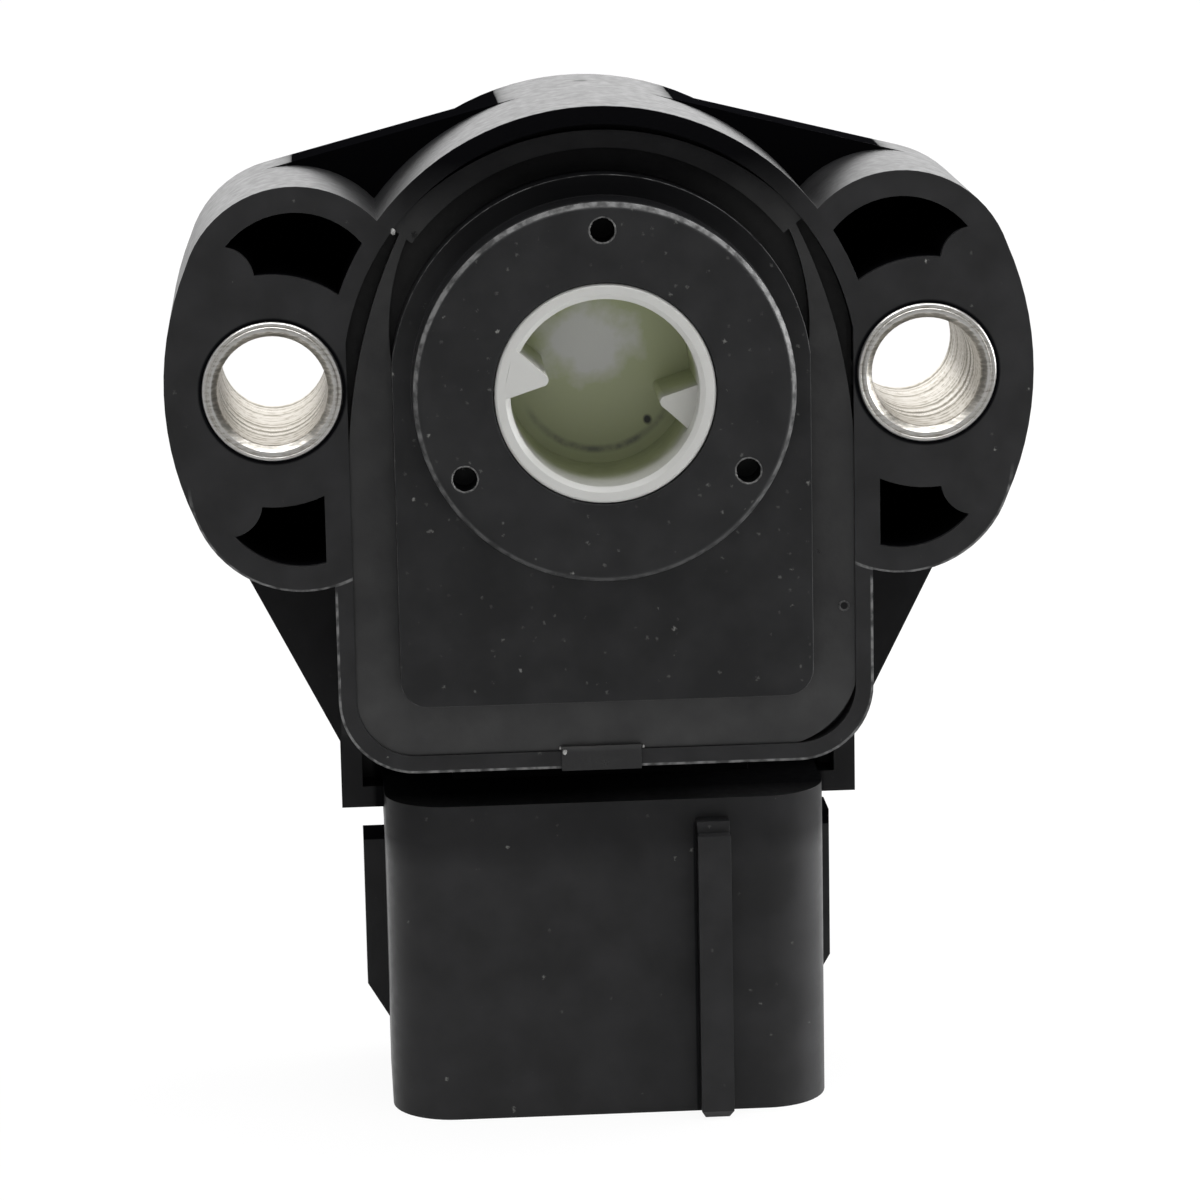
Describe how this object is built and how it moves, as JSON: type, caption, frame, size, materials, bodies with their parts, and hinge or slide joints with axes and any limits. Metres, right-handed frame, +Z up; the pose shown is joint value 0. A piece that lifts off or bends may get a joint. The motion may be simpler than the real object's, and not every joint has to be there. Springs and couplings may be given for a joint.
{
  "type": "throttle position sensor",
  "caption": "Rotary potentiometer for a throttle shaft: eared plastic housing, proud pilot boss, white drive socket with pointed tabs, and a keyed plug shroud.",
  "frame": {"origin": "on the rotor axis, in the plane of the mounting face that the two limiter ends make", "axes": "-Y points at the throttle body along the rotor axis, +Z is up away from the plug mouth, +X joins the screw centres"},
  "size_m": [0.0504, 0.022, 0.0611],
  "materials": {
    "housing_plastic": "satin moulded, glass-filled",
    "cover_plastic": "satin moulded, glass-filled",
    "potting": "smooth cured epoxy",
    "plated_steel": "turned and plated",
    "rotor_resin": "milky natural resin",
    "washer_steel": "stamped",
    "spring_steel": "drawn",
    "contact_alloy": "stamped",
    "board_laminate": "pressed laminate",
    "carbon_ink": "printed",
    "silver_ink": "printed",
    "terminal_tin": "tinned"
  },
  "bodies": {
    "sensor_body": {"housing": "housing_plastic", "limiter_left": "plated_steel", "limiter_right": "plated_steel", "cover_plate": "cover_plastic", "potting_bead": "potting", "thrust_washer": "washer_steel", "wave_washer": "spring_steel", "return_spring": "spring_steel", "element_board": "board_laminate", "resistor_track": "carbon_ink", "collector_track": "silver_ink", "supply_track": "silver_ink", "ground_track": "silver_ink", "terminal_supply": "terminal_tin", "terminal_signal": "terminal_tin", "terminal_ground": "terminal_tin", "clip_supply": "contact_alloy", "clip_signal": "contact_alloy", "clip_ground": "contact_alloy", "terminal_potting": "potting"},
    "rotor": {"drive_rotor": "rotor_resin", "wiper_contact": "contact_alloy"}
  },
  "joints": [
    {"name": "rotor_turn", "type": "hinge", "parent": "sensor_body", "child": "rotor", "pos_m": [0, 0, 0], "axis": [0, -1, 0], "range_deg": [0, 100], "stiffness_Nm_per_rad": 0.01, "springref_deg": -20.05, "deforming": ["return_spring"]}
  ]
}
